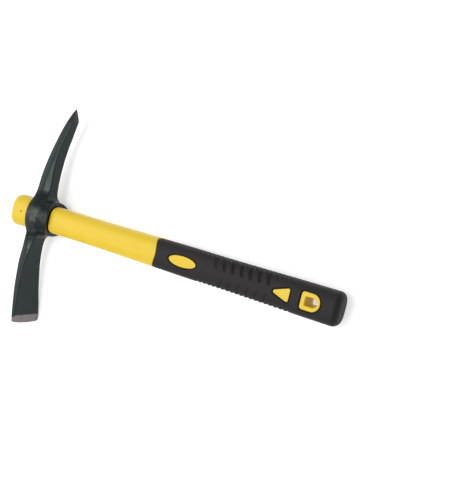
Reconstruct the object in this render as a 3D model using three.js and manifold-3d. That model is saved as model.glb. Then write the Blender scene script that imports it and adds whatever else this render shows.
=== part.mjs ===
// A small pick mattock, lying on its side: a forged head with a pick and an adze, held on a handle
// that drops through the head's eye. Millimetres, +Z up. X runs along the handle, from the knob's
// end face at the origin to the butt. +Y points to the pick, -Y to the adze.
import * as THREE from 'three';
import { mergeVertices } from 'three/addons/utils/BufferGeometryUtils.js';
import Module from 'manifold-3d';

const wasm = await Module();
wasm.setup();

// ---------------------------------------------------------------- driving dimensions

const GAP = 0.3; // clearance between touching pieces

// The handle's outline, knob end to butt: distance along X, half height in Y, half thickness in Z.
const HANDLE_LENGTH = 385;
const HANDLE_OUTLINE = [
  [0, 17.5, 14.8],
  [27, 16.3, 14.0],
  [62, 14.4, 12.6],
  [110, 13.9, 12.0],
  [191, 14.2, 12.0],
  [231, 14.4, 12.1],
  [270, 14.2, 12.0],
  [308, 14.4, 12.1],
  [346, 14.8, 12.3],
  [385, 15.0, 12.5],
];
const HANDLE_SQUARENESS = 2.7; // superellipse power: 2 is an ellipse, more is boxier
const RING_POINTS = 32; // points round each of the handle's sections
const KNOB_EDGE_RADIUS = 4;
const BUTT_EDGE_RADIUS = 6;

// The rubber starts at GRIP_START on the narrow edges. On the wide sides its front edge is an arc,
// which the jacket's tongue fills.
const GRIP_START = 192.6;
const TONGUE = { x: 174, radius: 24.5 };
const GRIP_WALL = 2.4; // thickness of the rubber over the plastic
const JACKET_END = 378; // the plastic ends inside the closed rubber butt

const CORE_RADIUS = 6.5;
const CORE_LENGTH = 343;

const LOCATOR_HOLE = { x: 16.6, radius: 1.1 }; // mould locator holes in the knob's flat sides
const ISLAND_DROP = 0.25; // how far the yellow islands lie below the rubber's face
const ELLIPSE = { x: 229.7, length: 30.6, height: 10.6 };
const TRIANGLE = { x: 325, length: 15.4, height: 12, corner: 1.8 };
const HANG_PLATE = { x: 350.9, length: 17.8, height: 15.8, corner: 2.4 };
const HANG_HOLE = { x: 354.8, length: 11.1, height: 7.8, corner: 1.4 };

// Finger ribs: leaning slots across the grip's two narrow edges.
const RIBS = { first: 246, count: 20, pitch: 4.9, width: 1.8, depth: 0.8, lean: 0.5, reach: 16 };

// The head. Its eye runs along X from EYE_ENTRY to EYE_EXIT.
// Arms: distance along Y, outer face X, inner face X, half width in Z, squareness.
const ARM_STATIONS = [
  [-120, 41.9, 42.4, 18.8, 7],
  [-110, 38.6, 42.6, 18.3, 7],
  [-100, 35.8, 40.5, 17.5, 7],
  [-81, 31.0, 36.8, 15.6, 6],
  [-65, 28.1, 35.1, 13.8, 6],
  [-45, 25.8, 34.4, 11.2, 5],
  [-36, 25.5, 35.2, 10.6, 4.5],
  [-28, 26.0, 37.6, 10.9, 4],
  [-21, 26.6, 40.5, 12.2, 3],
  [-14, 27, 44.5, 15, 2.6],
  [0, 27, 52, 19, 2.4],
  [14, 27, 44.5, 15, 2.6],
  [21, 27.4, 42.6, 11.6, 3],
  [30, 27.6, 41.6, 9.2, 4],
  [40, 27.9, 41.6, 8.5, 5],
  [48, 29.0, 41.8, 8.2, 5],
  [60, 31.3, 42.6, 7.7, 5],
  [75, 35.0, 44.3, 7.2, 5],
  [89, 39.0, 47.7, 6.2, 5],
  [104, 43.4, 51.8, 4.7, 4],
  [109, 45.1, 53.1, 4.0, 3.4],
  [116, 47.4, 51.2, 2.0, 2.6],
  [121, 49.3, 49.9, 0.3, 2],
];
// Eye boss: distance along X, half height in Y, half width in Z.
const EYE_ENTRY = 27;
const EYE_EXIT = 58.8;
const BOSS_STATIONS = [
  [EYE_ENTRY, 19, 16.8],
  [30, 20.5, 18.5],
  [37, 21, 19.4],
  [43, 20.5, 19.5],
  [49, 19, 18.6],
  [53.5, 19.1, 17.8],
  [56, 19.4, 17.4],
  [EYE_EXIT, 19.6, 17.3],
];
const BOSS_SQUARENESS = 2.4;

// Cutting bodies reach well past the tool: their length across it, and their overrun along it.
const CUTTER = 60;
const OVERRUN = 10;

// ---------------------------------------------------------------- solids and sections

// A closed triangle mesh as a manifold solid.
function solid(geometry) {
  const bare = geometry.clone();
  bare.deleteAttribute('normal');
  bare.deleteAttribute('uv');
  const merged = mergeVertices(bare, 1e-4);
  return new wasm.Manifold(new wasm.Mesh({
    numProp: 3,
    vertProperties: new Float32Array(merged.attributes.position.array),
    triVerts: new Uint32Array(merged.index.array),
  }));
}

// A manifold solid as a named three.js mesh.
function meshOf(name, body, material) {
  const { vertProperties, triVerts } = body.getMesh();
  const geometry = new THREE.BufferGeometry();
  geometry.setAttribute('position', new THREE.BufferAttribute(new Float32Array(vertProperties), 3));
  geometry.setIndex(new THREE.BufferAttribute(new Uint32Array(triVerts), 1));
  geometry.computeVertexNormals();
  const mesh = new THREE.Mesh(geometry, material);
  mesh.name = name;
  return mesh;
}

// The smooth curve through a table of stations, as a function of the first column.
function through(stations) {
  const places = stations.map(([place]) => place);
  const values = stations.flatMap(([, ...rest]) => rest);
  const width = stations[0].length - 1;
  const curve = new THREE.CubicInterpolant(places, values, width, new Float32Array(width));
  return (place) => Array.from(curve.evaluate(place));
}

// Points round a superellipse with the given half sizes, as [across, up] pairs.
function superellipse(halfAcross, halfUp, power, count) {
  const swell = (c) => Math.sign(c) * Math.abs(c) ** (2 / power);
  return Array.from({ length: count }, (_, i) => {
    const turn = (2 * Math.PI * (i + 0.5)) / count;
    return [halfAcross * swell(Math.cos(turn)), halfUp * swell(Math.sin(turn))];
  });
}

// A closed skin through rings with the same number of points, capped flat at both ends.
function loft(rings) {
  const count = rings[0].length;
  const last = (rings.length - 1) * count;
  const index = [];
  for (let start = 0; start < last; start += count) {
    for (let i = 0; i < count; i += 1) {
      const a = start + i;
      const b = start + ((i + 1) % count);
      index.push(a, b, b + count, a, b + count, a + count);
    }
  }
  for (let i = 1; i + 1 < count; i += 1) {
    index.push(0, i + 1, i, last, last + i, last + i + 1);
  }
  const geometry = new THREE.BufferGeometry();
  geometry.setAttribute('position', new THREE.Float32BufferAttribute(rings.flat(2), 3));
  geometry.setIndex(index);
  return geometry;
}

// Evenly spaced places from start to end, at most step apart.
function spread(start, end, step) {
  const count = Math.max(1, Math.ceil((end - start) / step));
  return Array.from({ length: count + 1 }, (_, i) => start + ((end - start) * i) / count);
}

// How far a rounded edge of this radius pulls the section in, at a distance from the end face.
function edgeInset(distance, radius) {
  const inside = Math.max(0, radius - distance);
  return radius - Math.sqrt(radius ** 2 - inside ** 2);
}

const handleOutline = through(HANDLE_OUTLINE);

// The handle's section at x, taken in by inset all round.
function handleRing(x, inset, count) {
  const [halfHeight, halfThickness] = handleOutline(x);
  const ring = superellipse(halfHeight - inset, halfThickness - inset, HANDLE_SQUARENESS, count);
  return ring.map(([y, z]) => [x, y, z]);
}

// The handle's bare outline from start to end, as a solid.
function handleSolid(start, end, inset, step = 19, count = RING_POINTS) {
  return solid(loft(spread(start, end, step).map((x) => handleRing(x, inset, count))));
}

// An upright cylinder that marks the rubber's curved front edge on both wide sides.
function tongueCutter(radius) {
  const cutter = new THREE.CylinderGeometry(radius, radius, CUTTER, 48);
  cutter.rotateX(Math.PI / 2);
  cutter.translate(TONGUE.x, 0, 0);
  return solid(cutter);
}

// An outline drawn in XY, as a prism right through the handle along Z.
function prismThroughHandle(shape) {
  const geometry = new THREE.ExtrudeGeometry(shape, {
    depth: CUTTER,
    bevelEnabled: false,
    curveSegments: 10,
  });
  geometry.translate(0, 0, -CUTTER / 2);
  return solid(geometry);
}

// ---------------------------------------------------------------- outlines on the handle

function ellipseShape(grow) {
  const shape = new THREE.Shape();
  shape.absellipse(ELLIPSE.x, 0, ELLIPSE.length / 2 + grow, ELLIPSE.height / 2 + grow, 0, 2 * Math.PI);
  return shape;
}

// A triangle that points to the head, with three rounded corners.
function triangleShape(grow) {
  const radius = TRIANGLE.corner + grow;
  const half = TRIANGLE.height / 2 - TRIANGLE.corner;
  const tip = TRIANGLE.x + TRIANGLE.corner;
  const base = TRIANGLE.x + TRIANGLE.length - TRIANGLE.corner;
  const flank = Math.PI / 2 + Math.atan2(half, base - tip);
  const shape = new THREE.Shape();
  shape.absarc(tip, 0, radius, flank, 2 * Math.PI - flank);
  shape.absarc(base, -half, radius, -flank, 0);
  shape.absarc(base, half, radius, 0, flank);
  return shape;
}

// A letter D lying on its back: straight toward the head, round toward the butt.
function hangShape({ x, length, height, corner }, grow) {
  const left = x - grow;
  const half = height / 2 + grow;
  const radius = corner + grow;
  const round = x + length - height / 2;
  const shape = new THREE.Shape();
  shape.absarc(left + radius, -half + radius, radius, Math.PI, 1.5 * Math.PI);
  shape.absarc(round, 0, half, -Math.PI / 2, Math.PI / 2);
  shape.absarc(left + radius, half - radius, radius, Math.PI / 2, Math.PI);
  return shape;
}

// The three islands of jacket plastic that show through the rubber.
function islandShapes(grow) {
  return [ellipseShape(grow), triangleShape(grow), hangShape(HANG_PLATE, grow)];
}

// ---------------------------------------------------------------- sub-parts

// Pultruded fibreglass rod, the handle's backbone. It stops short of the hang hole.
function coreRod(material) {
  const rod = new THREE.CylinderGeometry(CORE_RADIUS, CORE_RADIUS, CORE_LENGTH, 24);
  rod.rotateZ(-Math.PI / 2);
  rod.translate(CORE_LENGTH / 2, 0, 0);
  return meshOf('core_rod', solid(rod), material);
}

// Moulded plastic over the core: knob, tapered neck in the eye, bare shaft, and the part under
// the rubber with its three raised islands on each side.
function handleJacket(material) {
  const edges = [0, 0.5, 1.4, 2.6, KNOB_EDGE_RADIUS];
  const stations = [...edges, ...spread(EYE_ENTRY / 2, TONGUE.x + TONGUE.radius + 1, 15)];
  const shaft = loft(stations.map((x) => handleRing(x, edgeInset(x, KNOB_EDGE_RADIUS), RING_POINTS)));
  const bareLength = new THREE.BoxGeometry(GRIP_START + OVERRUN, CUTTER, CUTTER);
  bareLength.translate((GRIP_START - OVERRUN) / 2, 0, 0);
  const bareReach = solid(bareLength).add(tongueCutter(TONGUE.radius));
  const underGrip = handleSolid(GRIP_START - 1, JACKET_END, GRIP_WALL + GAP);
  const islands = islandShapes(0).map((shape) => prismThroughHandle(shape))
    .reduce((all, prism) => all.add(prism))
    .intersect(handleSolid(GRIP_START, JACKET_END, ISLAND_DROP));
  const bore = new THREE.CylinderGeometry(CORE_RADIUS + GAP, CORE_RADIUS + GAP, 1, 24);
  bore.scale(1, CORE_LENGTH + 1 + GAP, 1);
  bore.rotateZ(-Math.PI / 2);
  bore.translate((CORE_LENGTH + GAP - 1) / 2, 0, 0);
  const locator = new THREE.CylinderGeometry(LOCATOR_HOLE.radius, LOCATOR_HOLE.radius, CUTTER, 12);
  locator.rotateX(Math.PI / 2);
  locator.translate(LOCATOR_HOLE.x, 0, 0);
  const body = solid(shaft)
    .intersect(bareReach)
    .add(underGrip)
    .add(islands)
    .subtract(solid(bore))
    .subtract(solid(locator))
    .subtract(prismThroughHandle(hangShape(HANG_HOLE, 0)));
  return meshOf('handle_jacket', body, material);
}

// One rib slot: a box that leans along the grip, sunk in the edge at y = side * half height.
function ribSlot(x, side) {
  const [halfHeight] = handleOutline(x);
  const slot = new THREE.BoxGeometry(RIBS.width, 2 * RIBS.depth, RIBS.reach);
  slot.rotateY(side * RIBS.lean);
  slot.translate(x, side * halfHeight, 0);
  return solid(slot);
}

// Rubber sleeve moulded over the jacket, closed at the butt, with a window for each island.
function grip(material) {
  const buttEdges = [4, 2, 0.8, 0].map((distance) => HANDLE_LENGTH - distance);
  const stations = [...spread(GRIP_START + GAP, HANDLE_LENGTH - BUTT_EDGE_RADIUS, 14), ...buttEdges];
  const inset = (x) => edgeInset(HANDLE_LENGTH - x, BUTT_EDGE_RADIUS);
  let body = solid(loft(stations.map((x) => handleRing(x, inset(x), RING_POINTS))));
  body = body.subtract(handleSolid(GRIP_START - 1, JACKET_END + GAP, GRIP_WALL));
  body = body.subtract(tongueCutter(TONGUE.radius + GAP));
  for (const shape of islandShapes(GAP)) {
    body = body.subtract(prismThroughHandle(shape));
  }
  for (let i = 0; i < RIBS.count; i += 1) {
    const x = RIBS.first + i * RIBS.pitch;
    body = body.subtract(ribSlot(x, 1)).subtract(ribSlot(x, -1));
  }
  return meshOf('grip', body, material);
}

// The forged head: one piece of steel, pick and adze either side of the eye boss.
function pickHead(material) {
  const arms = loft(ARM_STATIONS.map(([y, outer, inner, halfWidth, power]) => {
    const ring = superellipse(halfWidth, (inner - outer) / 2, power, 28);
    return ring.map(([z, x]) => [(outer + inner) / 2 + x, y, z]);
  }));
  const boss = loft(BOSS_STATIONS.map(([x, halfHeight, halfWidth]) => {
    const ring = superellipse(halfHeight, halfWidth, BOSS_SQUARENESS, 48);
    return ring.map(([y, z]) => [x, y, z]);
  }));
  const eye = handleSolid(EYE_ENTRY - OVERRUN, EYE_EXIT + OVERRUN, -GAP, 6);
  return meshOf('pick_head', solid(arms).add(solid(boss)).subtract(eye), material);
}

// ---------------------------------------------------------------- the assembly

function finish(color, roughness, metalness) {
  return new THREE.MeshStandardMaterial({ color, roughness, metalness });
}

const pickMattock = new THREE.Group();
pickMattock.add(
  pickHead(finish(0x2b302e, 0.45, 0.3)),
  coreRod(finish(0x8a7f63, 0.6, 0)),
  handleJacket(finish(0xf2d200, 0.4, 0)),
  grip(finish(0x3b3a3d, 0.8, 0)),
);

export default pickMattock;
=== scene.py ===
# %% [markdown]
# # A hand pick mattock
# A forged steel head, pick on one side and adze on the other, sits on a moulded handle that drops
# through the head's eye. This lesson builds the tool's four pieces as surfaces worked out with
# numpy, each a function of two parameters, and gives each the finish of its real material. The
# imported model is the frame: it holds the sizes, and every piece below stays where the frame says.
# The same shapes could be pushed into place by hand. Functions are used because each size then
# stays a named number that can be read and changed.

# %% Load the frame
import math

import bpy
import numpy as np
from mathutils import Matrix


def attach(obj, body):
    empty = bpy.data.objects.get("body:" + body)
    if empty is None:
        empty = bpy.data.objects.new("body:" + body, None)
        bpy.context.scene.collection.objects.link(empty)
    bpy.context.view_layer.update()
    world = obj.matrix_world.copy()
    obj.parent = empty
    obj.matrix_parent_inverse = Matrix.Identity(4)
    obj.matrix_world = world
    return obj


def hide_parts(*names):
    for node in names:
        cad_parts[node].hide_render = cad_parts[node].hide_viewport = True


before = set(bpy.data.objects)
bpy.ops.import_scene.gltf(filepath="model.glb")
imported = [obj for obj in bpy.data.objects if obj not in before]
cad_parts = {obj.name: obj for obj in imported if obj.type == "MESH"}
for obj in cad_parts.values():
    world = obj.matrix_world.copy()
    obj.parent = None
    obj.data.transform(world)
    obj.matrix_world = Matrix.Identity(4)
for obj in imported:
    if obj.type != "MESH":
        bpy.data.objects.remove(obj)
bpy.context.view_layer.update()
print("frame nodes:", sorted(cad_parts))

# %% [markdown]
# ## Lengths and curves
# Everything is drawn in millimetres and turned to metres when it becomes a mesh. A tool's outline
# is a smooth curve through a few stations. A Bezier curve would do, but its handles have to be set
# by hand. A monotone cubic is used because it never swings past a station, so a handle keeps the
# thickness it was given.

# %% Millimetres and smooth outlines
MM = 0.001


def smooth(table, places):
    """Values at places on the monotone cubic through a table whose first column is the place.

    Each knot's slope is the weighted harmonic mean of the slopes on its two sides, and nought
    where they differ in sign. Between knots the curve is a cubic Hermite blend.
    """
    table = np.asarray(table, float)
    x, y = table[:, 0], table[:, 1:]
    step = np.diff(x)[:, None]
    rise = np.diff(y, axis=0) / step
    slope = np.vstack([rise[:1], np.zeros((len(x) - 2, y.shape[1])), rise[-1:]])
    before, after = rise[:-1], rise[1:]
    w1, w2 = 2 * step[1:] + step[:-1], step[1:] + 2 * step[:-1]
    same = before * after > 0
    safe = np.where(same, before, 1), np.where(same, after, 1)
    slope[1:-1] = np.where(same, (w1 + w2) / (w1 / safe[0] + w2 / safe[1]), 0)
    places = np.asarray(places, float)
    k = np.clip(np.searchsorted(x, places) - 1, 0, len(x) - 2)
    u = ((places - x[k]) / step[k, 0])[..., None]
    h = step[k, 0][..., None]
    return (
        (1 + 2 * u) * (1 - u) ** 2 * y[k]
        + u * (1 - u) ** 2 * h * slope[k]
        + u * u * (3 - 2 * u) * y[k + 1]
        + u * u * (u - 1) * h * slope[k + 1]
    )


def ramp(value, low, high):
    """0 below low, 1 above high, and a smooth 3u^2 - 2u^3 between them."""
    u = np.clip((value - low) / (high - low), 0, 1)
    return u * u * (3 - 2 * u)


def between(value, rise, fall):
    """0 to 1 over the rise's two limits, and back to 0 over the fall's: one ramp times another."""
    return ramp(value, *rise) * (1 - ramp(value, *fall))


def reach(y, z, high, wide, power):
    """A place's size on a superellipse, 1 on its line: (|y / high|^p + |z / wide|^p)^(1 / p)."""
    return (np.abs(y / high) ** power + np.abs(z / wide) ** power) ** (1 / power)


print("a third of the way up a ramp is", round(float(ramp(1.0, 0.0, 3.0)), 3))

# %% [markdown]
# ## From rings to a mesh
# A ring is one closed row of points. A skin joins a stack of rings with quads and closes both ends
# with a fan, so every piece is a closed solid. Boolean cuts then make the eye, the windows and the
# hanging hole, the way a press or a milling cutter would. The holes could be left open in the
# grid itself, but a cut leaves each outline free of the grid that it crosses.

# %% Skins
def skin(name, *stacks):
    """One closed skin for each stack of rings of shape (rows, count, 3), in millimetres.

    Point j of row i joins its neighbours j + 1 and i + 1 as a quad. Each end row closes in a fan
    on the mean of its points. Rings turn anticlockwise seen from the last row's side, so that the
    faces point outwards.
    """
    points, faces, start = [], [], 0
    for rings in stacks:
        rows, count, _ = rings.shape
        points += [rings.reshape(-1, 3), rings[:1].mean(1), rings[-1:].mean(1)]
        i, j = np.meshgrid(np.arange(rows - 1), np.arange(count), indexing="ij")
        a, b = i * count + j, i * count + (j + 1) % count
        quads = np.stack([a, b, b + count, a + count], -1).reshape(-1, 4)
        j = np.arange(count)
        top = (rows - 1) * count
        first = np.stack([(j + 1) % count, j, np.full(count, rows * count)], -1)
        last = np.stack([top + j, top + (j + 1) % count, np.full(count, rows * count + 1)], -1)
        for corners in (quads, first, last):
            faces += (start + corners).tolist()
        start += rows * count + 2
    mesh = bpy.data.meshes.new(name)
    mesh.from_pydata((np.concatenate(points) * MM).tolist(), [], faces)
    mesh.validate()
    return mesh


def tube(x0, x1, radius, count=48):
    """Two rings of a round bar along X, at (radius cos t, radius sin t) in Y and Z."""
    turn = 2 * np.pi * np.arange(count) / count
    ring = np.stack([0 * turn, radius * np.cos(turn), radius * np.sin(turn)], -1)
    return np.stack([ring + [x0, 0, 0], ring + [x1, 0, 0]])


trial = skin("trial", tube(0, 10, 2, count=4))
print("a bar of two rings of 4 points has", len(trial.polygons), "faces")
bpy.data.meshes.remove(trial)


# %% Objects and cuts
def put(name, held):
    """An object at the origin that holds a mesh, a lamp or a lens, linked to the scene."""
    piece = bpy.data.objects.new(name, held)
    bpy.context.scene.collection.objects.link(piece)
    return piece


def carve(piece, tool_mesh, operation="DIFFERENCE"):
    """Joins the piece's mesh with, or cuts it by, a tool mesh whose skins don't touch."""
    tool = put("tool", tool_mesh)
    cut = piece.modifiers.new("cut", "BOOLEAN")
    cut.operation, cut.object, cut.solver = operation, tool, "MANIFOLD"
    evaluated = piece.evaluated_get(bpy.context.evaluated_depsgraph_get())
    done = bpy.data.meshes.new_from_object(evaluated)
    piece.modifiers.clear()
    piece.data = done
    bpy.data.objects.remove(tool)


def points_of(mesh):
    """The mesh's points in millimetres, one row for each."""
    flat = np.empty(len(mesh.vertices) * 3)
    mesh.vertices.foreach_get("co", flat)
    return flat.reshape(-1, 3) / MM


def mark_painted_shade(piece, shade):
    """A point attribute of painted shade, worked out by shade(x, y, z) in millimetres.

    It is 1 where painted shade darkens a finish in a gap or hollow, and 0 elsewhere.
    """
    painted_shade = shade(*points_of(piece.data).T).astype(float)
    piece.data.attributes.new("painted_shade", "FLOAT", "POINT").data.foreach_set("value", painted_shade)
    print(f"{piece.name}: {len(piece.data.polygons)} faces, {(painted_shade > 0.5).mean():.0%} in recesses")


# %% [markdown]
# ## Nodes for materials
# Colours are given as sRGB hex and turned to linear light by one function. One small function adds
# a shader node with its settings and its links. Patterns read the piece's own coordinates, turned
# to millimetres, so that a noise scale of 1 / 9 means marks about 9 mm apart.

# %% Colour and node helpers
def linear(hex_colour):
    """sRGB hex to linear RGBA: c / 12.92 below 0.04045, else ((c + 0.055) / 1.055) ** 2.4."""
    c = np.array([int(hex_colour[i:i + 2], 16) for i in (1, 3, 5)]) / 255
    c = np.where(c <= 0.04045, c / 12.92, ((c + 0.055) / 1.055) ** 2.4)
    return (*c.tolist(), 1.0)


def add(tree, kind, settings=None, **inputs):
    """A new node. Settings are its own properties. Inputs name its sockets, with _ for a space.

    A socket given as an input is linked, and anything else becomes the input's value.
    """
    made = tree.nodes.new("ShaderNode" + kind)
    for key, value in (settings or {}).items():
        setattr(made, key, value)
    for key, value in inputs.items():
        socket = made.inputs[int(key[1:])] if key[1:].isdigit() else made.inputs[key.replace("_", " ")]
        if isinstance(value, bpy.types.NodeSocket):
            tree.links.new(value, socket)
        else:
            socket.default_value = value
    return made


def new_material(name):
    """An empty material with its output, its tree, and a coordinate socket in millimetres."""
    material = bpy.data.materials.new(name)
    material.use_nodes = True
    tree = material.node_tree
    tree.nodes.clear()
    out = add(tree, "OutputMaterial")
    place = add(tree, "TexCoord").outputs["Object"]
    mm = add(tree, "VectorMath", {"operation": "SCALE"}, Vector=place, Scale=1 / MM).outputs[0]
    return material, tree, out, mm


print("sRGB #808080 in linear light:", round(linear("#808080")[0], 3))

# %% [markdown]
# ## The forged head: where its faces are
# A pick head is forged from one bar in closed dies. Each arm has a flat outer face, two side faces
# and an inner face, and the dies leave a broad chamfer between side and inner face that fades
# toward the tip. So each arm is a table of stations along Y, and a section is the overlap of four
# half-spaces with softened corners. The eye boss is a barrel with a lip at the handle side. A box
# mesh with Subdivision would round the faces that a die leaves flat.

# %% Sizes of the head, in millimetres
# Along Y: outer face X, inner face X, half width in Z, chamfer along X, chamfer along Z.
ARMS = [
    (-120, 42.0, 46.0, 18.7, 1.2, 0.5),
    (-110, 38.8, 42.8, 18.0, 1.3, 0.5),
    (-100, 36.2, 41.0, 17.3, 1.5, 0.5),
    (-81, 31.5, 37.5, 15.5, 1.8, 0.6),
    (-65, 28.4, 35.6, 13.8, 1.9, 0.6),
    (-55, 26.8, 34.7, 12.7, 2.0, 0.7),
    (-45, 25.6, 35.1, 11.5, 2.6, 1.0),
    (-38, 25.3, 35.9, 10.9, 4.0, 1.6),
    (-33, 25.5, 36.8, 10.7, 6.4, 2.3),
    (-28, 26.1, 37.8, 10.8, 8.2, 2.9),
    (-22, 27.2, 39.8, 11.3, 9.0, 3.4),
    (-12, 29.5, 45.0, 13.0, 9.0, 3.4),
    (0, 30.0, 47.0, 13.5, 8.5, 3.4),
    (12, 29.5, 45.0, 13.0, 8.5, 3.4),
    (22, 28.2, 43.4, 10.8, 8.6, 3.2),
    (30, 28.0, 43.4, 8.9, 8.6, 3.0),
    (40, 28.4, 43.1, 8.3, 8.2, 2.6),
    (48, 29.4, 42.9, 8.1, 6.8, 2.2),
    (60, 31.7, 43.2, 7.7, 4.5, 1.5),
    (75, 35.3, 44.9, 7.2, 2.8, 0.9),
    (89, 39.2, 48.4, 6.3, 2.2, 0.8),
    (104, 43.6, 52.6, 4.8, 1.6, 0.6),
    (110, 45.8, 54.6, 3.8, 1.3, 0.5),
    (116, 47.6, 56.8, 2.3, 1.0, 0.4),
    (121, 49.3, 58.5, 0.5, 0.6, 0.3),
]
# Along X: the boss's half height in Y and half width in Z.
BOSS = [
    (26, 18.6, 16.6),
    (30, 20.3, 18.4),
    (37, 20.8, 19.3),
    (43, 20.4, 19.4),
    (49, 19.0, 18.6),
    (53, 19.1, 17.8),
    (56, 19.3, 17.4),
    (59, 19.3, 17.3),
]
BOSS_POWER = 2.4
EYE_ENTRY, EYE_EXIT = 27.0, 58.8
EXIT_SAG, SAG_AT = 4.4, 17.0  # the exit's rim falls back this far at this distance along Y
BOSS_BACK, HEAD_BACK = 0.5, 1.2  # how far the boss and the whole head reach past the entry
FILLET = 5.2  # blend between arms and boss
ARM_EDGE, BOSS_EDGE = 0.9, 1.2  # softening of the corners
PICK_TIP = 121.0
ADZE_END, EDGE_BACK = -120.0, 0.08  # the ground edge stops just short of the adze's end
ADZE_CROWN, ADZE_SKEW = 0.0045, 0.035  # the edge bows out, and is ground a little off square
ADZE_CORNER, CORNER_AT = 0.25, 16.4  # past this distance along Z the edge's corners round off
GRIND, GRIND_UNTIL = (42.3, 0.075), -100.0  # ground bevel: X at the adze's end, slope, last Y
TIP_BEVEL, TIP_FROM = (49.9, -0.27), 100.0  # the pick's under-bevel: X at the tip, slope, first Y
CLEAR = 1e3  # lifts a ground plane clear of the steel beyond its last Y

print("head:", len(ARMS), "stations along Y and", len(BOSS), "along the eye")

# %% [markdown]
# ## The forged head as one surface
# At each place along Y the section is solved by rays: a ray leaves the section's middle, and
# halving steps find where it leaves the steel. The steel is where a signed function is negative,
# and arms and boss are joined by a smooth minimum, which leaves the fillets a forging has. Two
# arms and a boss joined by a Boolean and a Bevel would have fillets of one radius, with a seam.

# %% The head's signed function
def soft_min(a, b, size):
    """The smaller of two distances, rounded over size where they are nearly equal."""
    h = np.clip(0.5 + 0.5 * (b - a) / size, 0, 1)
    return b + (a - b) * h - size * h * (1 - h)


def soft_max(a, b, size):
    """The larger of two distances, rounded over size where they are nearly equal."""
    return -soft_min(-a, -b, size)


def grind_limit(y):
    """X of the adze's ground bevel at y, a straight line."""
    return GRIND[0] + GRIND[1] * (y - ADZE_END)


def tip_limit(y):
    """X of the pick's under-bevel at y, a straight line."""
    return TIP_BEVEL[0] + TIP_BEVEL[1] * (y - PICK_TIP)


def adze_edge(z):
    """Y of the cutting edge: the adze's end, plus a slope, a crown in z^2 and round corners."""
    corner = ADZE_CORNER * np.clip(np.abs(z) - CORNER_AT, 0, None) ** 2
    return ADZE_END + EDGE_BACK + ADZE_SKEW * z + ADZE_CROWN * z * z + corner


def steel(x, y, z, arm):
    """Signed distance-like function of the head: negative in the steel, in millimetres.

    arm holds the arm table's five values at each y. The four faces of an arm are planes, the boss
    is a superellipse tube whose size varies along X, and the grinds are planes that cut them.
    """
    outer, inner, half, cut_x, cut_z = arm
    side = np.abs(z) - half
    chamfer = ((x - inner + cut_x) * cut_z + side * cut_x) / np.hypot(cut_x, cut_z)
    body = soft_max(soft_max(outer - x, side, ARM_EDGE), x - inner, ARM_EDGE)
    body = soft_max(body, chamfer, ARM_EDGE)
    high, wide = np.moveaxis(smooth(BOSS, np.clip(x, BOSS[0][0], EYE_EXIT)), -1, 0)
    rim = EYE_EXIT - EXIT_SAG * (y / SAG_AT) ** 2
    proud = (reach(y, z, high, wide, BOSS_POWER) - 1) * (high + wide) / 2
    barrel = soft_max(proud, x - rim, BOSS_EDGE)
    barrel = soft_max(barrel, EYE_ENTRY - BOSS_BACK - x, BOSS_EDGE)
    head = soft_max(soft_min(body, barrel, FILLET), EYE_ENTRY - HEAD_BACK - x, BOSS_EDGE)
    grind = x - grind_limit(y) - CLEAR * np.clip(y - GRIND_UNTIL, 0, None)
    tip = x - tip_limit(y) - CLEAR * np.clip(TIP_FROM - y, 0, None)
    return np.maximum(np.maximum(head, grind), np.maximum(tip, adze_edge(z) - y))


print("the cutting edge at its middle and a corner: Y", adze_edge(np.array([0.0, 18.0])).round(2))

# %% Solve the head's rings
FINE_ADZE, FINE_PICK = -106.0, 104.0  # beyond these along Y, rings are close for edge and point
EYE_ROWS, EYE_FADE = 30.0, (16.0, 24.0)  # rings are closest, and rays turn to the eye's, by |Y|
EYE_MIDDLE, EYE_GROW = 44.5, (12.0, 6.0)  # rays near the eye: where they start, extra X and Z
INNER_CAP = (42.6, 0.1)  # the furthest inner face that rays start from: X at the point, slope
TIP_SHARE, GRIND_SHARE = 0.35, 0.4  # where rays start between the outer face and a bevel
RAY_END, HALVINGS = 3.0, 34  # a ray's length in half sizes, and how often it is halved


def ray_middle(y, outer, inner, near):
    """X that the rays leave from: midway between the arm's faces, kept clear of both bevels."""
    middle = (outer + np.minimum(inner, INNER_CAP[0] + (PICK_TIP - y) * INNER_CAP[1])) / 2
    middle = np.where(y > FINE_PICK, outer + TIP_SHARE * (tip_limit(y) - outer), middle)
    middle = np.where(y < FINE_ADZE, outer + GRIND_SHARE * (grind_limit(y) - outer), middle)
    return middle + near * (EYE_MIDDLE - middle)


def head_rings(count=128):
    """Rings of the head from the adze's edge to the pick's point, in planes of constant y.

    Point j leaves the middle of the section along (cos, sin) of its angle, scaled by the section's
    half sizes, so points stay evenly spread on the thin adze as well as on the round boss.
    """
    y = np.concatenate([
        np.linspace(ADZE_END + 0.02, FINE_ADZE, 44, endpoint=False),
        np.linspace(FINE_ADZE, -EYE_ROWS, 76, endpoint=False),
        np.linspace(-EYE_ROWS, EYE_ROWS, 260, endpoint=False),
        np.linspace(EYE_ROWS, FINE_PICK, 74, endpoint=False),
        np.linspace(FINE_PICK, PICK_TIP, 44),
    ])[:, None]
    arm = [v[:, None] for v in smooth(ARMS, y[:, 0]).T]
    near = 1 - ramp(np.abs(y), *EYE_FADE)
    middle = ray_middle(y, arm[0], arm[1], near)
    half_x = (arm[1] - arm[0]) / 2 + near * EYE_GROW[0]
    half_z = arm[2] + near * EYE_GROW[1]
    turn = 2 * np.pi * np.arange(count)[None, :] / count
    out_z, out_x = half_z * np.cos(turn), half_x * np.sin(turn)
    low, high = np.zeros_like(out_z), np.full_like(out_z, RAY_END)
    for _ in range(HALVINGS):
        t = (low + high) / 2
        inside = steel(middle + t * out_x, y + 0 * t, t * out_z, arm) < 0
        low, high = np.where(inside, t, low), np.where(inside, high, t)
    return np.stack([middle + low * out_x, y + 0 * low, low * out_z], -1)


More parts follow.
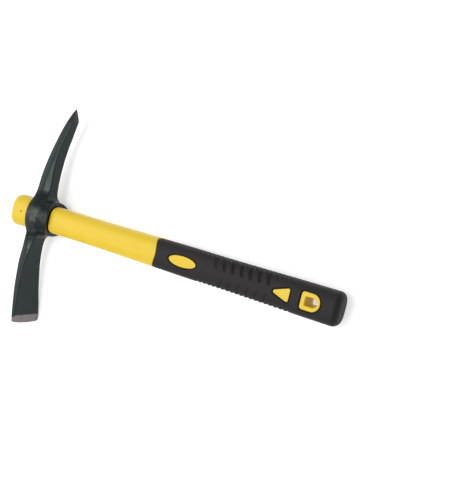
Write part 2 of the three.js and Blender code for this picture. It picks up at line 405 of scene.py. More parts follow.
head_points = head_rings()
low_corner, high_corner = head_points.min((0, 1)), head_points.max((0, 1))
print("head rings:", head_points.shape, "from", low_corner.round(1), "to", high_corner.round(1))

# %% [markdown]
# ## The handle's outline
# The handle is a flattened oval, a superellipse, that flares to a knob past the head. The head
# slides on from the butt and jams on the flare, so it can't fly off. Three lofts could be drawn
# one by one, but jacket, rubber and eye all follow this one outline, each taken in or out by its
# own amount, so that they always fit each other.

# %% The handle's outline and its surface height
# Along X: half height in Y, half thickness in Z.
HANDLE = [
    (0, 17.8, 14.8),
    (27, 16.3, 14.0),
    (62, 14.5, 12.6),
    (110, 14.2, 12.0),
    (191, 14.6, 12.0),
    (231, 14.8, 12.1),
    (270, 14.6, 12.0),
    (308, 14.8, 12.1),
    (346, 15.1, 12.3),
    (385, 15.2, 12.5),
]
HANDLE_POWER = 2.7
LENGTH, JACKET_END = 385.0, 378.0
TONGUE_X, TONGUE_R = 174.0, 24.5  # the arc that the rubber starts in: its middle and radius
FRONT_HIGH = 14.2  # the handle's half height there
GRIP_WALL = 2.4
GAP, SEAM = 0.3, 0.05  # clearance between the layers, and round an island
AROUND = 160  # points round the handle


def unit_ring():
    """Points round the superellipse |y|^p + |z|^p = 1, even in angle."""
    turn = 2 * np.pi * np.arange(AROUND) / AROUND
    c, s = np.cos(turn), np.sin(turn)
    size = (np.abs(c) ** HANDLE_POWER + np.abs(s) ** HANDLE_POWER) ** (-1 / HANDLE_POWER)
    return c * size, s * size


def handle_rings(x, inset):
    """Rings of the handle, (half size - inset) times the unit ring.

    x and inset have a row for each ring, with one value for the whole ring or one for each point.
    """
    y, z = unit_ring()
    x = np.broadcast_to(np.asarray(x, float).reshape(len(x), -1), (len(x), AROUND))
    inset = np.broadcast_to(np.asarray(inset, float).reshape(len(inset), -1), x.shape)
    high, thick = np.moveaxis(smooth(HANDLE, x), -1, 0)
    return np.stack([x, (high - inset) * y, (thick - inset) * z], -1)


def surface_height(x, y):
    """Z of the handle's upper face over (x, y): t (1 - |y / h|^p)^(1 / p)."""
    high, thick = np.moveaxis(smooth(HANDLE, np.clip(x, 0, LENGTH)), -1, 0)
    return thick * np.clip(1 - np.abs(y / high) ** HANDLE_POWER, 0, 1) ** (1 / HANDLE_POWER)


def rubber_front():
    """X of the rubber's front edge round the handle: a circle's arc, middle + sqrt(r^2 - y^2)."""
    y = unit_ring()[0] * FRONT_HIGH
    return TONGUE_X + np.sqrt(TONGUE_R ** 2 - y ** 2)


print(f"the rubber starts between X {rubber_front().min():.1f} and {rubber_front().max():.1f} mm")

# %% [markdown]
# ## Windows, islands and the hanging hole
# The jacket shows through the rubber at three islands on each side: an ellipse, a triangle and a
# D-shaped plate with the hanging hole. The moulds shut on these islands, which keeps the jacket
# centred while the rubber is shot round it. They could be drawn as curves and projected onto the
# handle. Here each outline is a function that can be grown, so that the same one makes the island,
# its rounded brim, and the window and moat in the rubber round it.

# %% Outlines
def arcs(*pieces, steps=14):
    """A closed outline through arcs given as (x, y, radius, from angle, to angle)."""
    return np.concatenate([
        np.stack([x + r * np.cos(t), y + r * np.sin(t)], -1)
        for x, y, r, start, end in pieces
        for t in [np.linspace(start, end, steps)]
    ])


def ellipse_outline(grow=0.0):
    """An ellipse: the middle plus (length cos t, height sin t), each half size grown alike."""
    middle, half_length, half_height = 229.7, 15.3, 5.3
    turn = np.linspace(0, 2 * np.pi, 72, endpoint=False)
    across, up = (half_length + grow) * np.cos(turn), (half_height + grow) * np.sin(turn)
    return np.stack([middle + across, up], -1)


def triangle_outline(grow=0.0):
    """A triangle that points to the head: three corner arcs joined by straight sides."""
    tip, base, half, corner = 326.8, 338.6, 4.2, 1.8 + grow
    flank = math.pi / 2 + math.atan2(half, base - tip)
    return arcs(
        (tip, 0, corner, flank, 2 * math.pi - flank),
        (base, -half, corner, -flank, 0),
        (base, half, corner, 0, flank),
    )


def letter_d(x, length, height, corner, grow=0.0):
    """A D: straight side with two round corners toward the head, a half circle toward the butt.

    x is where the straight side lies, and corner is its corners' radius.
    """
    half, round_x = height / 2, x + length - height / 2
    return arcs(
        (x + corner, corner - half, corner + grow, math.pi, 1.5 * math.pi),
        (round_x, 0, half + grow, -math.pi / 2, math.pi / 2),
        (x + corner, half - corner, corner + grow, math.pi / 2, math.pi),
    )


def plate_outline(grow=0.0):
    """The hanging plate's D."""
    return letter_d(350.9, 17.8, 15.8, 2.4, grow)


def hole_outline(grow=0.0):
    """The hanging hole's smaller D."""
    return letter_d(354.8, 11.1, 7.8, 1.4, grow)


ISLANDS = (ellipse_outline, triangle_outline, plate_outline)
for outline in (*ISLANDS, hole_outline):
    print(outline.__name__, "is", np.ptp(outline(), axis=0).round(1), "mm")

# %% Plugs that follow the handle's face
ISLAND_DROP = 0.25  # how far an island's face lies under the rubber's
ISLAND_ROOT, WINDOW_ROOT = 6.0, 4.0  # Z where the walls and the window cutters start
# Each profile is pairs of a distance out from, or in from, the outline and a depth under the face.
BRIM = ((0.0, 0.6), (0.08, 0.3), (0.25, 0.1), (0.5, 0.01))
MOAT = ((0.0, 1.5), (0.95, 1.4), (1.0, 0.5), (1.08, 0.2), (1.3, 0.02), (1.7, -0.2), (1.7, -4.0))
HOLE_FLARE = ((0.0, 1.6), (0.08, 1.0), (0.25, 0.6), (0.6, 0.3), (1.0, 0.1), (1.0, -4.0))


def ring_at(outline, grow, drop):
    """An outline as a ring at a depth below the handle's upper face."""
    flat = outline(grow)
    return np.column_stack([flat, surface_height(*flat.T) - drop])


def island(outline):
    """A raised island: a straight wall, a rounded brim and a face that follows the handle.

    The wall's rings have the outline's own size. The face's rings shrink the brim to its middle.
    """
    flat = outline()
    middle = (flat.min(0) + flat.max(0)) / 2
    rings = [np.column_stack([flat, np.full(len(flat), ISLAND_ROOT)])]
    rings += [ring_at(outline, -inward, ISLAND_DROP + deeper) for inward, deeper in BRIM]
    brim = outline(-BRIM[-1][0])
    for size in np.linspace(0.9, 0.08, 10):
        flat = middle + size * (brim - middle)
        rings.append(np.column_stack([flat, surface_height(*flat.T) - ISLAND_DROP]))
    return np.array(rings)


def window_cutter(outline):
    """A cutter a seam wider than the island, flared at the top so that the rubber's lip is round."""
    flat = outline(SEAM)
    rings = [np.column_stack([flat, np.full(len(flat), WINDOW_ROOT)])]
    rings += [ring_at(outline, SEAM + outward, drop) for outward, drop in MOAT]
    return np.array(rings)


def hole_cutter():
    """Rings right through the plate, flared at both faces."""
    rings = [ring_at(hole_outline, outward, drop) for outward, drop in HOLE_FLARE]
    under = [ring * np.array([1, 1, -1]) for ring in rings[::-1]]
    return np.array(under + rings)


def upper_and_lower(name, rings):
    """The same skin over the upper face and, turned over, under the lower face."""
    return skin(name, rings, rings[:, ::-1] * np.array([1, 1, -1]))


print("rings of an island, a window and the hole:",
      [len(rings) for rings in (island(plate_outline), window_cutter(plate_outline), hole_cutter())])

# %% [markdown]
# ## The yellow jacket
# Polypropylene is injection moulded over the fibreglass rod. The knob's rim is rounded, and where
# the rubber starts the jacket turns down in a small shoulder, which shows as a bright line with a
# dark one beside it. A Bevel would round the rim too, but as insets of one outline the rim, the
# shoulder and the step under the rubber all keep the handle's oval.

# %% Jacket surface
KNOB_EDGE, SHOULDER = 5.8, 0.55
SHAFT_END, STEP, HIDDEN_START = 170.0, 1.2, 202.0
NECK_START, MOUTH_RING = 30.0, (57.6, 58.0)  # painted shade covers the neck inside the eye from here to the ring


def rounding(distance, radius):
    """How far a rounded edge pulls a surface in at a distance from its end: r - sqrt(r^2 - d^2)."""
    inside = np.clip(radius - distance, 0, None)
    return radius - np.sqrt(np.clip(radius ** 2 - inside ** 2, 0, None))


def jacket_rings():
    """The knob, neck, shaft and tongue, then a step down to the part under the rubber.

    Rings are flat at the knob and bend to the rubber's front edge along the tongue.
    """
    front = rubber_front()[None, :]
    knob = np.array([0, 0.15, 0.5, 1.0, 1.7, 2.6, 3.6, 5.0, 7.5])
    neck = np.sort(np.append(np.linspace(10, SHAFT_END, 81), MOUTH_RING))
    plain = np.concatenate([knob, neck])[:, None] + 0 * front
    blend = np.linspace(0, 1, 24)[1:, None]
    tongue = SHAFT_END + (front - 0.9 - SHAFT_END) * blend
    lip = front - np.array([0.6, 0.35, 0.15, 0.04, 0.0])[:, None]
    outer = np.concatenate([plain, tongue, lip])
    inset = rounding(outer, KNOB_EDGE) + rounding(front - outer, SHOULDER)
    under_x = front + np.array([0.0, 0.0, 1.0])[:, None]
    sleeve_x = np.linspace(HIDDEN_START, JACKET_END, 60)[:, None] + 0 * front
    hidden_x = np.concatenate([under_x, sleeve_x])
    hidden_inset = np.concatenate([[STEP], np.full(len(hidden_x) - 1, GRIP_WALL + GAP)])
    x = np.concatenate([outer, hidden_x])
    inset = np.concatenate([inset, hidden_inset[:, None] + 0 * hidden_x])
    return handle_rings(x, inset)


jacket = put("jacket", skin("jacket", jacket_rings()))
print("jacket before its cuts:", len(jacket.data.polygons), "faces")

# %% Islands, bore and holes of the jacket
CORE_RADIUS, CORE_LENGTH = 6.5, 343.0
LOCATOR_X, LOCATOR_RADIUS, LOCATOR_LEVELS = 16.6, 1.1, (11.5, 20.0)
HOLE_BOX = (360.3, 4.0, 2.4, 3.0)  # round the hanging hole: middle X, two straights, corner radius
ISLANDS_FROM, WALL_SHADE_DEPTHS = 205.0, (0.33, 0.6)  # first X, and the depths over which painted shade darkens the walls


def locator_rings():
    """An upright bar that sinks a locator hole into the knob's wide side."""
    turn = 2 * np.pi * np.arange(24) / 24
    ring = np.stack([LOCATOR_X + LOCATOR_RADIUS * np.cos(turn), LOCATOR_RADIUS * np.sin(turn)], -1)
    return np.array([np.column_stack([ring, np.full(24, z)]) for z in LOCATOR_LEVELS])


def jacket_shade(x, y, z):
    """Painted shade on the islands' side walls, outside the hanging hole, and on the neck inside the
    eye.
    """
    middle, straight_x, straight_y, corner = HOLE_BOX
    out_x = np.clip(np.abs(x - middle) - straight_x, 0, None)
    out_y = np.clip(np.abs(y) - straight_y, 0, None)
    hole = np.hypot(out_x, out_y) < corner
    deep = surface_height(x, y) - np.abs(z)
    walls = ramp(deep, *WALL_SHADE_DEPTHS) * (x > ISLANDS_FROM) * ~hole
    return np.maximum(walls, (x > NECK_START) * (1 - ramp(x, *MOUTH_RING)))


for outline in ISLANDS:
    carve(jacket, upper_and_lower("island", island(outline)), "UNION")
carve(jacket, skin("bore", tube(-1, CORE_LENGTH + GAP, CORE_RADIUS + GAP)))
carve(jacket, skin("hole", hole_cutter()))
carve(jacket, upper_and_lower("locator", locator_rings()))
mark_painted_shade(jacket, jacket_shade)

# %% [markdown]
# ## The rubber grip
# Thermoplastic rubber is moulded over the jacket as a closed-ended sleeve. Its narrow edges carry
# fine slanted ribs that bite into the fingers, and each wide side has broad shallow flutes, deeper
# on the upper half. They could be single bars cut out by an Array and a Boolean. As waves in the
# wall's depth they fade out softly, as a mould's do. The sleeve is one skin: it starts at the inner
# end wall, runs forward along the inside, turns at the front edge, and runs back over the outside.

# %% Ribs as a change of depth
RIB_PITCH, RIB_DEPTH, RIB_LEAN = 4.9, 0.8, 0.6
FLUTE_PITCH, FLUTE_DEPTH, FLUTE_LEAN, FLUTE_START = 9.0, 1.15, 0.3, 262.5
LOWER_SHARE = 0.4  # flutes below the middle line are this much as deep
RIB_HIGH, RIB_THICK, FLUTE_HIGH = 14.0, 12.0, 14.3  # half sizes that turn the unit ring into mm
# Where ribs and flutes rise and fall: along X, and round the unit ring by |y| or |z|.
RIB_RISE, RIB_FALL, RIB_EDGE = (240.0, 248.0), (338.0, 346.0), (0.66, 0.84)
FLUTE_RISE, FLUTE_FALL = (244.0, 280.0), (318.0, 328.0)
SIDE_RISE, SIDE_FALL, SIDE_FACE = (0.16, 0.34), (0.74, 0.92), (0.3, 0.6)


def wave(turns):
    """A wave from 0 to 1 and back for each whole turn: (1 - cos(2 pi t)) / 2."""
    return 0.5 - 0.5 * np.cos(2 * np.pi * turns)


def rib_depth(x, y_unit, z_unit):
    """How deep the rubber is cut at x, for a place round the handle on the unit superellipse.

    Fine ribs and broad flutes are powers of a wave along X, which lean because the wave's start
    shifts with |y| and |z|. The ribs keep to the narrow edges, where |y| is near 1, and the flutes
    to the wide sides between.
    """
    high, thick = np.abs(y_unit), np.abs(z_unit)
    rib_turns = (x - RIB_LEAN * (RIB_THICK * thick - RIB_HIGH * high)) / RIB_PITCH
    fine = RIB_DEPTH * ramp(high, *RIB_EDGE) * wave(rib_turns) ** 1.6
    flute_turns = (x - FLUTE_START + FLUTE_LEAN * FLUTE_HIGH * high) / FLUTE_PITCH
    side = between(high, SIDE_RISE, SIDE_FALL) * ramp(thick, *SIDE_FACE)
    share = np.where(y_unit > 0, 1.0, LOWER_SHARE)
    broad = FLUTE_DEPTH * side * share * wave(flute_turns) ** 3
    broad = broad * between(x, FLUTE_RISE, FLUTE_FALL)
    return between(x, RIB_RISE, RIB_FALL) * (fine + broad)


places = np.arange(RIB_RISE[0], RIB_FALL[1], 0.1)
deepest = [round(float(rib_depth(places, y, z).max()), 2) for y, z in ((1.0, 0.0), (0.5, 0.95))]
print("deepest rib and flute:", deepest, "mm")

# %% Grip surface
BUTT_EDGE, MOAT_SHADE_DEPTHS = 6.0, (0.25, 0.5)  # rounding, and the depths over which painted shade darkens moats and ribs
SLEEVE_START, BUTT_START = 204.0, 376.0


def grip_rings():
    """Inner end wall, inner wall, front edge, outer wall with ribs, and rounded butt."""
    front = rubber_front()[None, :] + GAP
    inner_x = np.linspace(JACKET_END + GAP, SLEEVE_START, 50)[:, None] + 0 * front
    inner_x = np.concatenate([inner_x, front])
    lip = front + np.array([0.0, 0.0, 0.05, 0.15, 0.35, 0.6, 1.0])[:, None]
    lip_inset = np.array([1.4, 0.6, 0.35, 0.2, 0.08, 0.02, 0.0])[:, None]
    run = np.linspace(0, 1, 470)[1:, None] * (BUTT_START - lip[-1:]) + lip[-1:]
    butt = LENGTH - np.array([8, 6.5, 5, 3.7, 2.6, 1.7, 1.0, 0.5, 0.15, 0])
    outer = np.concatenate([run, butt[:, None] + 0 * front])
    y, z = unit_ring()
    inset = np.concatenate([
        GRIP_WALL + 0 * inner_x,
        lip_inset + 0 * lip,
        rounding(LENGTH - outer, BUTT_EDGE) + rib_depth(outer, y[None, :], z[None, :]),
    ])
    return handle_rings(np.concatenate([inner_x, lip, outer]), inset)


def moat_shade(x, y, z):
    """Painted shade in the moats round the islands and down in the ribs: by depth under the plain
    oval.
    """
    return ramp(surface_height(x, y) - np.abs(z), *MOAT_SHADE_DEPTHS)


grip = put("rubber", skin("rubber", grip_rings()))
for outline in ISLANDS:
    carve(grip, upper_and_lower("window", window_cutter(outline)))
mark_painted_shade(grip, moat_shade)

# %% [markdown]
# ## The eye and the rod
# The eye is cut through the boss with the handle's own outline, a gap wider, and its two mouths are
# rounded so that they don't cut into the plastic. A plain oval cut with a Bevel would do for the
# mouths, but the eye also tapers, and the outline's own stations already hold that taper. The rod
# is a plain bar whose sawn end shows in the knob.

# %% Cut the eye and make the rod
# Along X: how much wider than the gap the eye is.
EYE_MOUTHS = (
    (20, 2.2), (25.6, 2.2), (26.3, 1.2), (27, 0.6), (28, 0.2), (29.5, 0), (36, 0), (42, 0), (49, 0),
    (54, 0), (56, 0.35), (57.2, 1.0), (58.2, 1.9), (59.2, 2.9), (66, 2.9),
)
MOUTH_SHADE_REACH, ENTRY_SHADE_SPAN = (2.9, 3.7), (26.8, 28.2)  # where painted shade ends: out from the handle, and along X
NEAR_EYE = 22.0  # the boss and its eye end within this distance along Y


def eye_rings():
    """The handle's outline, a gap and its mouths' flare wider."""
    x, flare = np.array(EYE_MOUTHS, float).T
    return handle_rings(x, -GAP - flare)


def mouth_shade(x, y, z):
    """Painted shade in the eye's mouths: about 3 mm round the handle, and, less so, on the entry's
    rim.
    """
    high, thick = np.moveaxis(smooth(HANDLE, np.clip(x, 0, LENGTH)), -1, 0)
    away = (reach(y, z, high, thick, HANDLE_POWER) - 1) * (high + thick) / 2
    entry = 0.8 * (1 - ramp(x, *ENTRY_SHADE_SPAN)) * (np.abs(y) < NEAR_EYE)
    return np.maximum(1 - ramp(away, *MOUTH_SHADE_REACH), entry)


head = put("head", skin("head", head_points))
carve(head, skin("eye", eye_rings()))
mark_painted_shade(head, mouth_shade)
rod = put("rod", skin("rod", tube(0.0, CORE_LENGTH, CORE_RADIUS)))

# %% [markdown]
# ## Finish of the head: forged steel, baked enamel
# The head is shot-blasted, dipped in dark green-black enamel and baked. The dies leave shallow
# dents and scale pits that the satin enamel follows, so its highlights are soft and broken. The
# adze's bevel is ground after painting, so it is bare steel with scratches along the grind. Paint
# and steel could be two pieces. They are one skin with two shaders, as paint has no edge to show.

# %% Enamel
SCUFF_RISE = (16.8, 18.8)  # |Z| over which the cheeks' scuffs set in
POINT_WEAR = (100.0, 121.0, 0.35)  # along Y, the paint greys toward the point, up to this share


def enamel(tree, mm, y, away):
    """Satin green-black enamel, darkened by painted shade in the eye's mouths and on its entry rim.

    Tone and a soft bump follow dents about 9 mm apart. A finer bump follows pits, drawn 1.3 mm
    apart so that they show. Scuffs are patches of about 6 mm, on the cheeks near the eye.
    """
    dents = add(tree, "TexNoise", Vector=mm, Scale=1 / 9, Detail=3.0, Roughness=0.5)
    pits = add(tree, "TexNoise", Vector=mm, Scale=1 / 1.3, Detail=4.0, Roughness=0.6)
    tone = add(tree, "ValToRGB", Fac=dents.outputs["Fac"])
    tone.color_ramp.elements[0].position, tone.color_ramp.elements[1].position = 0.35, 0.7
    tone.color_ramp.elements[0].color = linear("#0c1213")
    tone.color_ramp.elements[1].color = linear("#151e1e")
    bump = add(tree, "Bump", Strength=0.5, Distance=0.4 * MM, Height=dents.outputs["Fac"])
    fine = add(tree, "Bump", Strength=0.35, Distance=0.12 * MM, Height=pits.outputs["Fac"],
               Normal=bump.outputs[0])
    rough = add(tree, "MapRange", Value=pits.outputs["Fac"], To_Min=0.2, To_Max=0.38)
    cheek = add(tree, "MapRange", Value=away, From_Min=SCUFF_RISE[0], From_Max=SCUFF_RISE[1])
    rubbed = add(tree, "TexNoise", Vector=mm, Scale=1 / 6.5, Detail=6.0, Roughness=0.72)
    patch = add(tree, "MapRange", Value=rubbed.outputs["Fac"], From_Min=0.42, From_Max=0.62)
    near = add(tree, "Math", {"operation": "COMPARE"}, _0=y, _1=0.0, _2=NEAR_EYE)
    scuff = add(tree, "Math", {"operation": "MULTIPLY"}, _0=cheek.outputs[0], _1=patch.outputs[0])
    scuff = add(tree, "Math", {"operation": "MULTIPLY"}, _0=scuff.outputs[0], _1=near.outputs[0])
    point = add(tree, "MapRange", Value=y, From_Min=POINT_WEAR[0], From_Max=POINT_WEAR[1],
                To_Max=POINT_WEAR[2])
    scuff = add(tree, "Math", {"operation": "MAXIMUM"}, _0=scuff.outputs[0], _1=point.outputs[0])
    worn = add(tree, "Mix", {"data_type": "RGBA"}, _0=scuff.outputs[0], _6=tone.outputs[0],
               _7=linear("#4c4d48"))
    # painted shade: near black where the point attribute marks the eye's mouths and entry rim
    painted_shade = add(tree, "Attribute", {"attribute_name": "painted_shade"})
    shaded_enamel = add(tree, "Mix", {"data_type": "RGBA"}, _0=painted_shade.outputs["Fac"], _6=worn.outputs[2],
               _7=linear("#060706"))
    return add(tree, "BsdfPrincipled", Base_Color=shaded_enamel.outputs[2], Roughness=rough.outputs[0],
               Normal=fine.outputs[0], IOR=1.5, Specular_IOR_Level=0.36,
               Specular_Tint=linear("#dcecec"))


# %% Ground steel
GROUND_TO = -109.5  # along Y, the last of the bevel
FLANK_OUT, FLANK_TO = 17.75, -112.5  # the wheel also catches the flanks, past this |Z| and this Y


def ground_mask(tree, x, y, away):
    """1 on the bevel, where x > its plane at y, and on the flanks' last few millimetres."""
    plane = add(tree, "Math", {"operation": "MULTIPLY_ADD"}, _0=y, _1=GRIND[1],
                _2=grind_limit(0.0) - 0.06)
    past = add(tree, "Math", {"operation": "GREATER_THAN"}, _0=x, _1=plane.outputs[0])
    low = add(tree, "Math", {"operation": "LESS_THAN"}, _0=y, _1=GROUND_TO)
    bevel = add(tree, "Math", {"operation": "MULTIPLY"}, _0=past.outputs[0], _1=low.outputs[0])
    flank = add(tree, "Math", {"operation": "GREATER_THAN"}, _0=away, _1=FLANK_OUT)
    end = add(tree, "Math", {"operation": "LESS_THAN"}, _0=y, _1=FLANK_TO)
    strip = add(tree, "Math", {"operation": "MULTIPLY"}, _0=flank.outputs[0], _1=end.outputs[0])
    return add(tree, "Math", {"operation": "MAXIMUM"}, _0=bevel.outputs[0], _1=strip.outputs[0])


def ground_steel(tree, mm):
    """Bare steel with scratches: noise about 0.45 mm wide along the edge and 7 mm long across it."""
    stretch = add(tree, "Mapping", Vector=mm, Scale=(0.15, 0.15, 2.2))
    lines = add(tree, "TexNoise", Vector=stretch.outputs[0], Scale=1.0, Detail=3.0)
    tone = add(tree, "ValToRGB", Fac=lines.outputs["Fac"])
    tone.color_ramp.elements[0].color = linear("#575153")
    tone.color_ramp.elements[1].color = linear("#8d8588")
    bump = add(tree, "Bump", Strength=0.4, Distance=0.05 * MM, Height=lines.outputs["Fac"])
    return add(tree, "BsdfPrincipled", Base_Color=tone.outputs[0], Metallic=1.0, Roughness=0.42,
               Normal=bump.outputs[0])


def forged_steel_enamel():
    """Enamel everywhere but on the ground faces, which are bare steel."""
    material, tree, out, mm = new_material("forged steel, baked enamel")
    x, y, z = add(tree, "SeparateXYZ", Vector=mm).outputs
    away = add(tree, "Math", {"operation": "ABSOLUTE"}, _0=z).outputs[0]
    bare = ground_mask(tree, x, y, away)
    mix = add(tree, "MixShader", Fac=bare.outputs[0], _1=enamel(tree, mm, y, away).outputs[0],
              _2=ground_steel(tree, mm).outputs[0])
    tree.links.new(mix.outputs[0], out.inputs[0])
    print(material.name, "has", len(tree.nodes), "nodes")
    return material


# %% [markdown]
# ## Finishes of the handle
# The jacket is satin polypropylene, a saturated yellow with a faint moulded grain. The grip is a
# thermoplastic rubber with a spark-eroded mould texture, which scatters light and looks matte
# charcoal. The rod's end is sawn fibreglass: pale resin with glass bundles seen end on. Dark gaps
# between jacket and rubber could be left to the light alone, but in soft light from all round they
# would wash out, so painted shade from a point attribute darkens them and the eye's mouths.

# %% Plastic
def polypropylene():
    """Yellow with faint clouds 14 mm wide, and a bump of mould grain, 0.5 mm apart."""
    material, tree, out, mm = new_material("injection-moulded polypropylene, yellow")
    cloud = add(tree, "TexNoise", Vector=mm, Scale=1 / 14, Detail=2.0)
    tone = add(tree, "ValToRGB", Fac=cloud.outputs["Fac"])
    tone.color_ramp.elements[0].color = linear("#e1bf2a")
    tone.color_ramp.elements[1].color = linear("#e6c636")
    grain = add(tree, "TexNoise", Vector=mm, Scale=1 / 0.5, Detail=3.0)
    bump = add(tree, "Bump", Strength=0.18, Distance=0.04 * MM, Height=grain.outputs["Fac"])
    rough = add(tree, "MapRange", Value=cloud.outputs["Fac"], To_Min=0.34, To_Max=0.46)
    # painted shade: dark brown on the islands' walls and on the neck inside the eye
    painted_shade = add(tree, "Attribute", {"attribute_name": "painted_shade"})
    shade = add(tree, "Mix", {"data_type": "RGBA"}, _0=painted_shade.outputs["Fac"], _6=tone.outputs[0],
                _7=linear("#171105"))
    shader = add(tree, "BsdfPrincipled", Base_Color=shade.outputs[2], Roughness=rough.outputs[0],
                 Normal=bump.outputs[0], IOR=1.49, Specular_IOR_Level=0.4)
    tree.links.new(shader.outputs[0], out.inputs[0])
    return material


# %% Rubber
def rubber():
    """Charcoal with clouds 11 mm wide. Sparks pit the mould 0.1 mm apart, drawn 0.6 mm to show."""
    material, tree, out, mm = new_material("thermoplastic rubber, charcoal")
    cloud = add(tree, "TexNoise", Vector=mm, Scale=1 / 11, Detail=3.0)
    tone = add(tree, "ValToRGB", Fac=cloud.outputs["Fac"])
    tone.color_ramp.elements[0].color = linear("#181516")
    tone.color_ramp.elements[1].color = linear("#211d1f")
    spark = add(tree, "TexNoise", Vector=mm, Scale=1 / 0.6, Detail=4.0, Roughness=0.65)
    bump = add(tree, "Bump", Strength=0.5, Distance=0.09 * MM, Height=spark.outputs["Fac"])
    rough = add(tree, "MapRange", Value=spark.outputs["Fac"], To_Min=0.55, To_Max=0.78)
    # painted shade: near black in the moats and down in the ribs
    painted_shade = add(tree, "Attribute", {"attribute_name": "painted_shade"})
    shade = add(tree, "Mix", {"data_type": "RGBA"}, _0=painted_shade.outputs["Fac"], _6=tone.outputs[0],
                _7=linear("#080707"))
    shader = add(tree, "BsdfPrincipled", Base_Color=shade.outputs[2], Roughness=rough.outputs[0],
                 Normal=bump.outputs[0], IOR=1.5, Specular_IOR_Level=0.36)
    tree.links.new(shader.outputs[0], out.inputs[0])
    return material


# %% Fibreglass
def fibreglass():
    """Pale resin in cells 0.7 mm wide, one for each bundle of glass, darker at their rims."""
    material, tree, out, mm = new_material("pultruded fibreglass, sawn")
    bundles = add(tree, "TexVoronoi", Vector=mm, Scale=1 / 0.7)
    tone = add(tree, "ValToRGB", Fac=bundles.outputs["Distance"])
    tone.color_ramp.elements[0].color = linear("#d8cfae")
    tone.color_ramp.elements[1].color = linear("#8f8460")
    bump = add(tree, "Bump", Strength=0.4, Distance=0.08 * MM, Height=bundles.outputs["Distance"])
    shader = add(tree, "BsdfPrincipled", Base_Color=tone.outputs[0], Roughness=0.6,
                 Normal=bump.outputs[0], IOR=1.52)
    tree.links.new(shader.outputs[0], out.inputs[0])
    return material


# %% Give each piece its finish and its place in the frame
def finish_piece(piece, name, node, material, crease=35):
    """Smooth shading with sharp edges past the crease angle, one material, and its frame calls."""
    mesh = piece.data
    piece.name = mesh.name = name
    mesh.shade_smooth()
    mesh.set_sharp_from_angle(angle=math.radians(crease))
    mesh.materials.clear()
    mesh.materials.append(material)
    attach(piece, "root")
    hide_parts(node)
    triangles = len(mesh.loops) - 2 * len(mesh.polygons)
    print(f"{name}: {triangles} triangles, {np.ptp(points_of(mesh), axis=0).round(1)} mm")


finish_piece(head, "forged_head", "pick_head", forged_steel_enamel(), 45)
finish_piece(jacket, "yellow_jacket", "handle_jacket", polypropylene())
finish_piece(grip, "rubber_grip", "grip", rubber(), 50)
finish_piece(rod, "fibreglass_rod", "core_rod", fibreglass())

# %% [markdown]
# ## Floor, light and camera
# The tool lies on its side and touches the floor at the eye's cheek, the adze's lower corner and
# the butt, so the floor is the plane through those three points. Light is soft and nearly white,
# as in a light tent: the world glows from all round, one lamp hangs above, and three more stand
# toward the butt, the knob and the adze to light the side faces. The paper floor glows a little as
# well, which keeps it near white under the tool. One sun lamp would do, but its shadows are hard.

# %% Floor
FLOOR_REACH = 4.0  # metres from the cheek to the floor's sides


def floor_plane(a, b, c):
    """A square in the plane through three points, facing up: a + reach (i across + j along)."""
    a, b, c = (np.array(p, float) for p in (a, b, c))
    across = (b - a) / np.linalg.norm(b - a)
    up = np.cross(across, c - a)
    up = up / np.linalg.norm(up) * np.sign(up[2])
    along = np.cross(up, across)
    signs = ((-1, -1), (1, -1), (1, 1), (-1, 1))
    corners = [a + FLOOR_REACH * (i * across + j * along) for i, j in signs]
    mesh = bpy.data.meshes.new("floor")
    mesh.from_pydata([tuple(p) for p in corners], [], [(0, 1, 2, 3)])
    print(f"floor leans {math.degrees(math.acos(up[2])):.1f} degrees from the tool's own plane")
    return mesh


touch_cheek = (44 * MM, 0, -19.5 * MM)
touch_adze = (41 * MM, -118 * MM, -18.5 * MM)
touch_butt = (378 * MM, 0, -12.5 * MM)
floor = put("floor", floor_plane(touch_cheek, touch_butt, touch_adze))
paper, floor_tree, floor_out, _ = new_material("pale paper sweep")
sheen = add(floor_tree, "BsdfPrincipled", Base_Color=linear("#d4d4d4"), Roughness=0.9,
            Specular_IOR_Level=0.1, Emission_Color=linear("#ffffff"), Emission_Strength=0.52)
floor_tree.links.new(sheen.outputs[0], floor_out.inputs[0])
floor.data.materials.append(paper)

# %% Light
TOOL_MIDDLE = np.array([0.17, 0, 0])
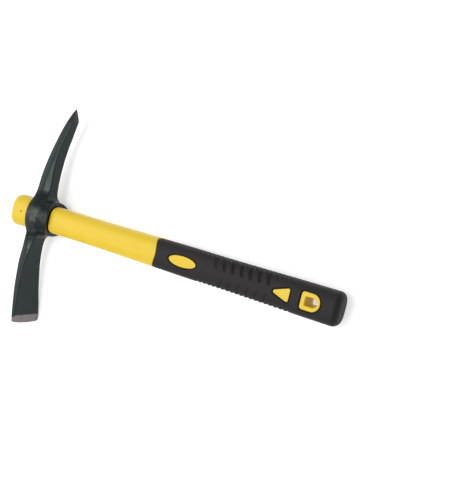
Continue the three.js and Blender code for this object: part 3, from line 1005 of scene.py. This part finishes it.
# Name, direction from the tool, distance and side in metres, radiance.
LAMPS = (
    ("key", (-0.12, 0.08, 1.0), 1.3, 0.5, 8.0),
    ("butt_side", (0.95, -0.35, 0.6), 1.4, 0.6, 1.9),
    ("knob_side", (-0.74, 0.0, 0.68), 1.3, 0.75, 1.8),
    ("adze_side", (-0.12, -0.5, 0.85), 1.3, 0.26, 11.0),
)

world = bpy.data.worlds.new("light tent")
world.use_nodes = True
world.node_tree.nodes["Background"].inputs["Color"].default_value = (1.0, 1.0, 1.0, 1.0)
world.node_tree.nodes["Background"].inputs["Strength"].default_value = 0.5
bpy.context.scene.world = world
bpy.context.scene.view_settings.view_transform = "Standard"


def aim(thing, right, back, place):
    """Turns a lamp or camera by the columns right, back x right and back: it looks against back."""
    right = right / np.linalg.norm(right)
    turn = np.column_stack([right, np.cross(back, right), back])
    thing.matrix_world = Matrix([[*turn[r], place[r]] for r in range(3)] + [[0, 0, 0, 1]])


for name, toward, distance, size, radiance in LAMPS:
    lamp = bpy.data.lights.new(name, "AREA")
    lamp.shape, lamp.size = "SQUARE", size
    lamp.energy = math.pi * radiance * size ** 2  # watts: pi times radiance times area
    back = np.array(toward) / np.linalg.norm(toward)
    aim(put(name, lamp), np.cross((0, 1, 0.1), back), back, TOOL_MIDDLE + distance * back)
    print(f"{name}: {lamp.energy:.1f} W")

# %% Camera
# The lens sees the tool from above and from the butt's side, about half a metre away.
CAMERA_PLACE = np.array([508.6, 66.5, 467.1]) * MM
CAMERA_RIGHT = np.array([0.8586, 0.2394, -0.4533])
CAMERA_UP = np.array([-0.2490, 0.9677, 0.0394])
SENSOR, FOCAL_WIDTHS = 36, 1.228  # sensor width in mm, and focal length over that width

lens = bpy.data.cameras.new("camera")
lens.sensor_fit = "HORIZONTAL"
lens.sensor_width = SENSOR
lens.lens = SENSOR * FOCAL_WIDTHS
lens.clip_start = 0.01
camera = put("camera", lens)
back = np.cross(CAMERA_RIGHT, CAMERA_UP)
aim(camera, CAMERA_RIGHT, back / np.linalg.norm(back), CAMERA_PLACE)
bpy.context.scene.camera = camera
print(f"camera: {lens.lens:.1f} mm lens, {np.linalg.norm(CAMERA_PLACE - TOOL_MIDDLE):.2f} m away")
